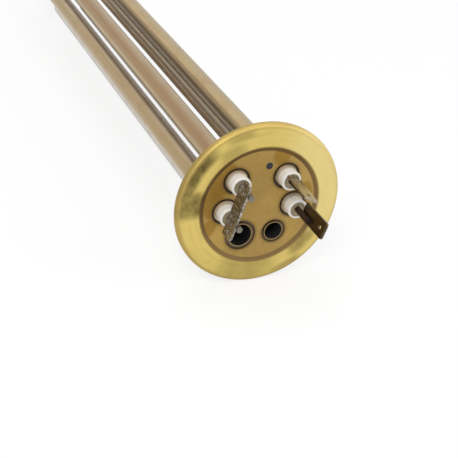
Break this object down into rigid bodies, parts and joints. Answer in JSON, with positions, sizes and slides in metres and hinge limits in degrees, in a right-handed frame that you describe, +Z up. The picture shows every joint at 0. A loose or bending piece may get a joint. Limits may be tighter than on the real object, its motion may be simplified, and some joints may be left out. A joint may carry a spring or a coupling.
{
  "type": "flanged heating element",
  "caption": "Immersion heater: paired hairpin tubes and closed sensor pockets brazed into a round brass flange, with ceramic beads and push-on tabs.",
  "frame": {"origin": "centre of the flange's rim, where the rounded edge meets the rim's straight wall", "axes": "+Y along the tubes into the tank, so the terminals point to -Y; +Z up, with the sensor pockets at the bottom; +X to the right seen from the terminals"},
  "size_m": [0.064, 0.3878, 0.064],
  "materials": {
    "flange_brass": "brushed, lightly lacquered brass with heat tint",
    "boss_brass": "turned brass",
    "sheath_metal": "drawn copper alloy tube, warm brown oxide with grey streaks",
    "pocket_metal": "drawn copper alloy tube, lightly oxidised",
    "packed_oxide": "compacted magnesium oxide powder",
    "resistance_wire": "wound resistance wire",
    "pin_steel": "nickel plated steel, heat darkened",
    "white_ceramic": "matt white steatite",
    "sealing_resin": "beige resin",
    "braze_alloy": "dark, oxidised brazing alloy",
    "tab_metal": "bright nickel plated steel strip"
  },
  "bodies": {
    "root": {"flange": "flange_brass", "upper_sheath": "sheath_metal", "upper_filling": "packed_oxide", "upper_winding": "resistance_wire", "lower_sheath": "sheath_metal", "lower_filling": "packed_oxide", "lower_winding": "resistance_wire", "cold_pin_upper_left": "pin_steel", "ceramic_bead_upper_left": "white_ceramic", "seal_upper_left": "sealing_resin", "braze_upper_left": "braze_alloy", "cold_pin_upper_right": "pin_steel", "ceramic_bead_upper_right": "white_ceramic", "seal_upper_right": "sealing_resin", "braze_upper_right": "braze_alloy", "cold_pin_lower_left": "pin_steel", "ceramic_bead_lower_left": "white_ceramic", "seal_lower_left": "sealing_resin", "braze_lower_left": "braze_alloy", "cold_pin_lower_right": "pin_steel", "ceramic_bead_lower_right": "white_ceramic", "seal_lower_right": "sealing_resin", "braze_lower_right": "braze_alloy", "blade_upper_right": "tab_metal", "blade_lower_right": "tab_metal", "joining_strip": "tab_metal", "sensor_pocket_large": "pocket_metal", "braze_pocket_large": "braze_alloy", "sensor_pocket_small": "pocket_metal", "braze_pocket_small": "braze_alloy", "anode_boss": "boss_brass", "braze_boss": "braze_alloy"}
  },
  "joints": []
}
